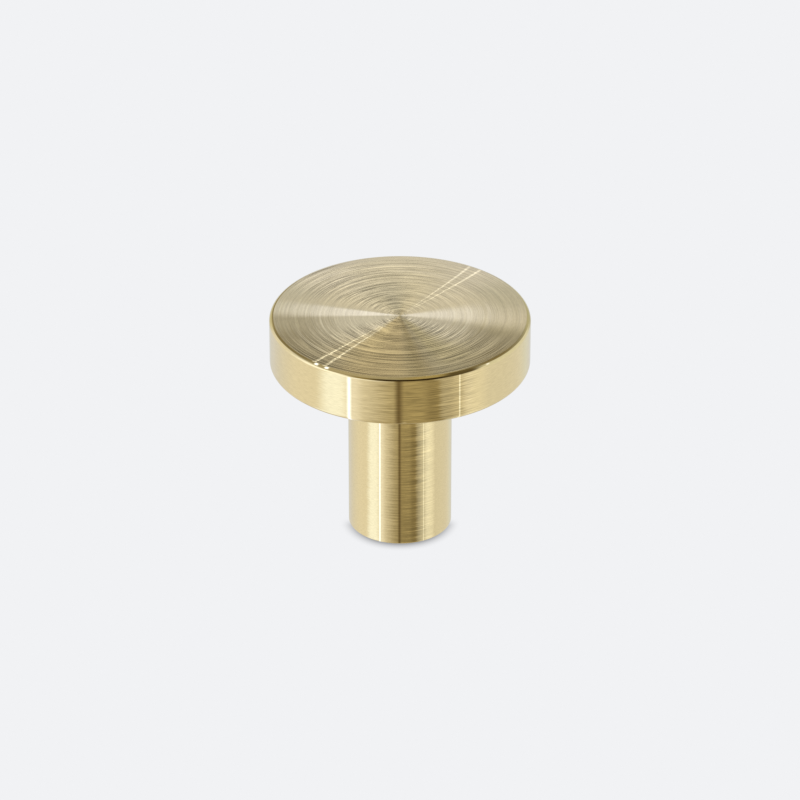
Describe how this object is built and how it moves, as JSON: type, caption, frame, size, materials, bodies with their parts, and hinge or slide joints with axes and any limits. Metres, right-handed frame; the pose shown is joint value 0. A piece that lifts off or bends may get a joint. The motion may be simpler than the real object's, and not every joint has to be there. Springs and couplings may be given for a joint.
{
  "type": "cabinet knob",
  "caption": "Round cabinet knob of solid brass: a flat disc head on a plain straight stem, with a tapped hole in the foot, pulled by the fingers to open a door or drawer.",
  "frame": {"origin": "centre of the foot, on the plane that bears on the door or drawer front", "axes": "+Z along the turning axis, from the foot towards the head's face; the part is the same all round, so X and Y are free"},
  "size_m": [0.03, 0.03, 0.027],
  "materials": {
    "brass": "satin, brushed in circles about the axis"
  },
  "bodies": {
    "root": {"knob": "brass"}
  },
  "joints": []
}
